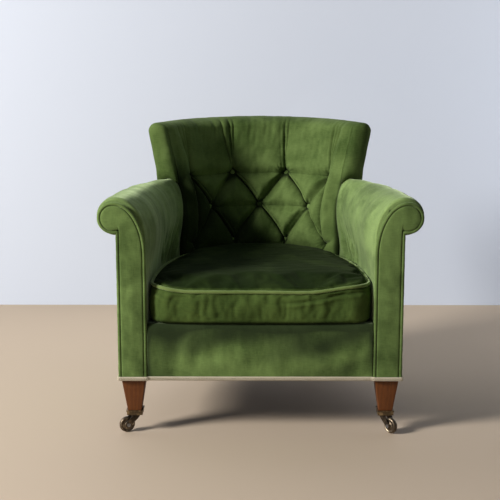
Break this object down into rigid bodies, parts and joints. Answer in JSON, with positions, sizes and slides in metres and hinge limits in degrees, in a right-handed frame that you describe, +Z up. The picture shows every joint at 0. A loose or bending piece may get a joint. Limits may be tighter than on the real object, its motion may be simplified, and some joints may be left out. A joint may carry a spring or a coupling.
{
  "type": "tub chair",
  "caption": "Low upholstered tub chair with scroll arms, buttoned curved back, loose piped seat cushion and tapered wooden legs on brass castors.",
  "frame": {"origin": "on the floor under the middle of the chair's width and depth", "axes": "+X to the chair's left-hand side as a viewer in front sees it on the right, -Y out of the front, +Z up"},
  "size_m": [0.7862, 0.7645, 0.752],
  "materials": {
    "velvet": "moss green cotton velvet",
    "piping": "velvet piping",
    "braid": "cream woven braid",
    "timber": "unfinished beech",
    "mahogany": "waxed mahogany",
    "brass": "aged brass",
    "dark_brass": "dark aged brass",
    "wheel_brass": "worn brass",
    "axle_steel": "dull steel",
    "spring_steel": "oiled steel wire",
    "linen": "natural webbing and calico",
    "hessian": "open jute weave",
    "dust_cloth": "black lining cloth"
  },
  "bodies": {
    "chair": {"front_seat_rail": "timber", "side_seat_rail_l": "timber", "side_seat_rail_r": "timber", "back_seat_rail": "timber", "corner_blocks": "timber", "arm_stump_l": "timber", "arm_stump_r": "timber", "facing_board_l": "timber", "facing_board_r": "timber", "arm_rail_l": "timber", "arm_rail_r": "timber", "wing_post_l": "timber", "wing_post_r": "timber", "back_post_l": "timber", "back_post_r": "timber", "top_back_rail": "timber", "arm_tacking_rail_l": "timber", "arm_tacking_rail_r": "timber", "back_tacking_rail": "timber", "leg_front_l": "mahogany", "leg_front_r": "mahogany", "leg_rear_l": "mahogany", "leg_rear_r": "mahogany", "seat_webbing": "linen", "seat_springs": "spring_steel", "spring_hessian": "hessian", "seat_stuffing": "linen", "dust_cover": "dust_cloth", "front_border": "velvet", "inside_back": "velvet", "wing_edge_l": "velvet", "wing_edge_r": "velvet", "tuft_buttons": "velvet", "inside_arm_l": "velvet", "inside_arm_r": "velvet", "arm_facing_l": "velvet", "arm_facing_r": "velvet", "facing_piping_l": "piping", "facing_piping_r": "piping", "outside_arm_l": "velvet", "outside_arm_r": "velvet", "outside_back": "velvet", "gimp": "braid", "castor_cups": "brass"},
    "seat_cushion": {"cushion": "velvet", "cushion_piping_top": "piping", "cushion_piping_bottom": "piping"},
    "castor_fl": {"castor_horn_fl": "dark_brass", "castor_axle_fl": "axle_steel"},
    "wheel_fl": {"castor_wheel_fl": "wheel_brass"},
    "castor_fr": {"castor_horn_fr": "dark_brass", "castor_axle_fr": "axle_steel"},
    "wheel_fr": {"castor_wheel_fr": "wheel_brass"},
    "castor_rl": {"castor_horn_rl": "dark_brass", "castor_axle_rl": "axle_steel"},
    "wheel_rl": {"castor_wheel_rl": "wheel_brass"},
    "castor_rr": {"castor_horn_rr": "dark_brass", "castor_axle_rr": "axle_steel"},
    "wheel_rr": {"castor_wheel_rr": "wheel_brass"}
  },
  "joints": [
    {"name": "cushion_slide", "type": "slide", "parent": "chair", "child": "seat_cushion", "axis": [0, -1, 0], "range_m": [0, 0.55]},
    {"name": "castor_swivel_fl", "type": "hinge", "parent": "chair", "child": "castor_fl", "pos_m": [-0.311, -0.3417, 0.0445], "axis": [0, 0, 1], "continuous": true},
    {"name": "wheel_spin_fl", "type": "hinge", "parent": "castor_fl", "child": "wheel_fl", "pos_m": [-0.33094, -0.351, 0.02], "axis": [-0.4226, 0.9063, 0], "continuous": true},
    {"name": "castor_swivel_fr", "type": "hinge", "parent": "chair", "child": "castor_fr", "pos_m": [0.311, -0.3417, 0.0445], "axis": [0, 0, 1], "continuous": true},
    {"name": "wheel_spin_fr", "type": "hinge", "parent": "castor_fr", "child": "wheel_fr", "pos_m": [0.32424, -0.35927, 0.02], "axis": [-0.7986, -0.6018, 0], "continuous": true},
    {"name": "castor_swivel_rl", "type": "hinge", "parent": "chair", "child": "castor_rl", "pos_m": [-0.17491, 0.19273, 0.0445], "axis": [0, 0, 1], "continuous": true},
    {"name": "wheel_spin_rl", "type": "hinge", "parent": "castor_rl", "child": "wheel_rl", "pos_m": [-0.18524, 0.21216, 0.02], "axis": [0.8829, 0.4695, 0], "continuous": true},
    {"name": "castor_swivel_rr", "type": "hinge", "parent": "chair", "child": "castor_rr", "pos_m": [0.17491, 0.19273, 0.0445], "axis": [0, 0, 1], "continuous": true},
    {"name": "wheel_spin_rr", "type": "hinge", "parent": "castor_rr", "child": "wheel_rr", "pos_m": [0.18244, 0.21341, 0.02], "axis": [0.9397, -0.342, 0], "continuous": true}
  ]
}
